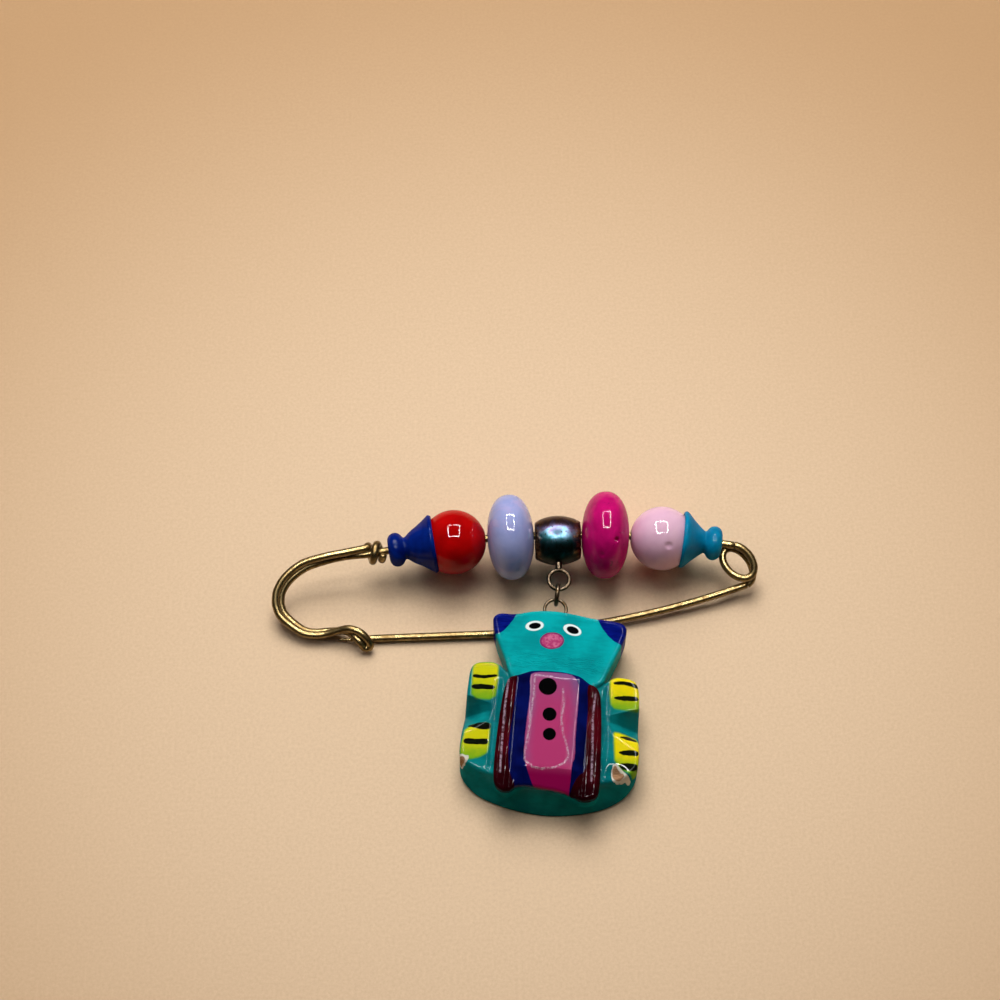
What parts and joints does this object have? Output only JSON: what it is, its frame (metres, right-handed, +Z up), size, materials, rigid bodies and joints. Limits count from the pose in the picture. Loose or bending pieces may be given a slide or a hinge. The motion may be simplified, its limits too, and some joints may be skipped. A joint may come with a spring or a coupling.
{
  "type": "safety pin brooch",
  "caption": "Safety pin brooch with turned beads strung on its arched bar and a flat painted wooden bear linked below; the pointed arm opens on the wire's own spring coil.",
  "frame": {"origin": "middle of the footprint, on the table that the brooch lies on", "axes": "+X along the beaded bar towards the spring coil, +Y away from the bear, +Z up from the table"},
  "size_m": [0.0766, 0.0509, 0.0138],
  "materials": {
    "pin_wire": "antique, polished on top, dark in the hollows",
    "blue_lacquer": "dark blue gloss lacquer over turned wood",
    "red_lacquer": "red gloss lacquer over turned wood",
    "lavender_lacquer": "lavender gloss lacquer over turned wood",
    "dark_metal": "dark polished metal with a violet and green tarnish",
    "magenta_lacquer": "magenta gloss lacquer over turned wood",
    "pink_lacquer": "pale pink gloss lacquer over turned wood",
    "teal_lacquer": "teal gloss lacquer over turned wood",
    "ring_wire": "grey-brown plated wire",
    "bear_paint": "painted in teal, blue, pink, maroon, yellow and black under gloss lacquer"
  },
  "bodies": {
    "brooch": {"pin_frame": "pin_wire", "spring_coil": "pin_wire", "blue_cap": "blue_lacquer", "red_bead": "red_lacquer", "lavender_bead": "lavender_lacquer", "metal_bead": "dark_metal", "magenta_bead": "magenta_lacquer", "pink_bead": "pink_lacquer", "teal_cap": "teal_lacquer", "split_ring": "ring_wire", "bear_eye": "ring_wire", "bear": "bear_paint"},
    "arm": {"pin_arm": "pin_wire"}
  },
  "joints": [
    {"name": "arm_opening", "type": "hinge", "parent": "brooch", "child": "arm", "pos_m": [0.0353, 0.01436, 0.00407], "axis": [0, -0.6856, 0.728], "range_deg": [0, 25], "deforming": ["spring_coil"]}
  ]
}
